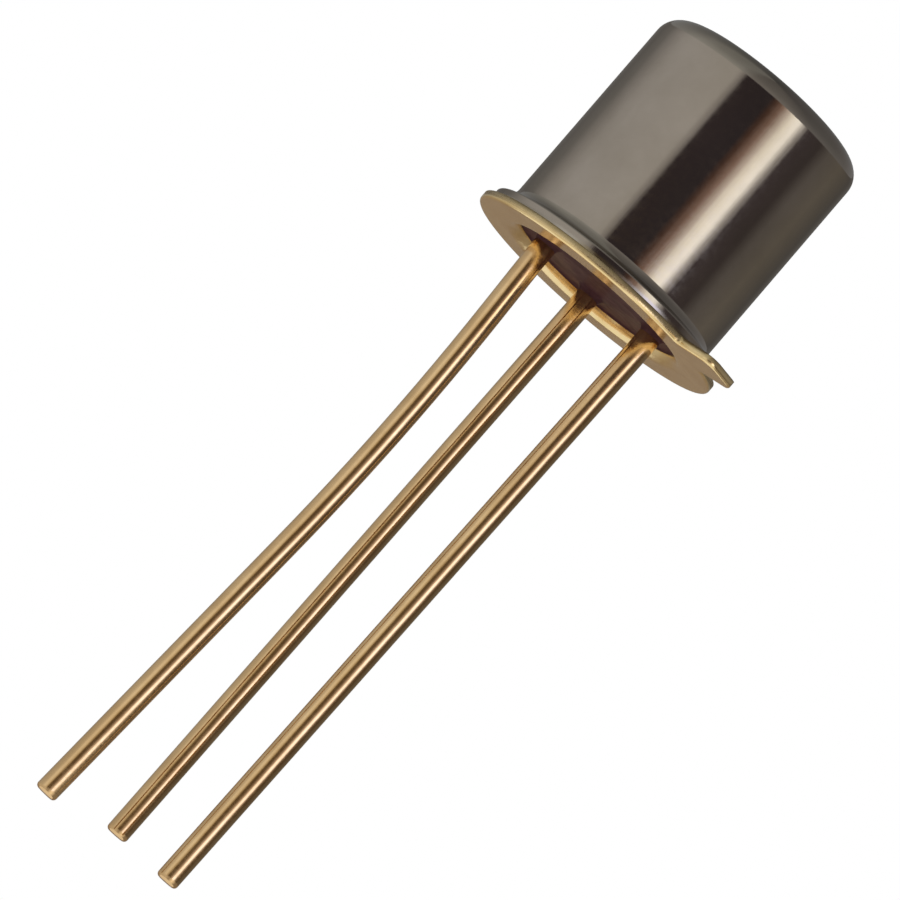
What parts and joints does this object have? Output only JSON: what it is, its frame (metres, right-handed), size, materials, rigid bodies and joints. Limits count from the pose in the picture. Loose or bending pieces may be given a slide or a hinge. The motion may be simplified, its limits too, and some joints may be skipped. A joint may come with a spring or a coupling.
{
  "type": "bipolar transistor",
  "caption": "Small-signal bipolar transistor: round metal can with a locating tab, glass-sealed header and wire leads for a printed board or socket.",
  "frame": {"origin": "centre of the header flange's underside, where the part sits on its board or pad", "axes": "+Z from the leads towards the top of the can; emitter lead on +X, base lead on +Y, collector lead on -X, locating tab midway between +X and -Y"},
  "size_m": [0.0055, 0.0055, 0.0184],
  "materials": {
    "drawn_nickel": "drawn and barrel-plated, bright",
    "gold_plated_shell": "gold plate over stamped sheet, satin bright",
    "sealing_glass": "dark fused glass, glossy",
    "gold_plated_wire": "gold plate over drawn wire",
    "silicon": "polished silicon",
    "gold_preform": "alloyed preform, matt",
    "bond_wire": "fine drawn wire"
  },
  "bodies": {
    "root": {"cap": "drawn_nickel", "header_shell": "gold_plated_shell", "glass_seal": "sealing_glass", "emitter_lead": "gold_plated_wire", "base_lead": "gold_plated_wire", "collector_lead": "gold_plated_wire", "die_attach": "gold_preform", "die": "silicon", "emitter_bond_wire": "bond_wire", "base_bond_wire": "bond_wire"}
  },
  "joints": []
}
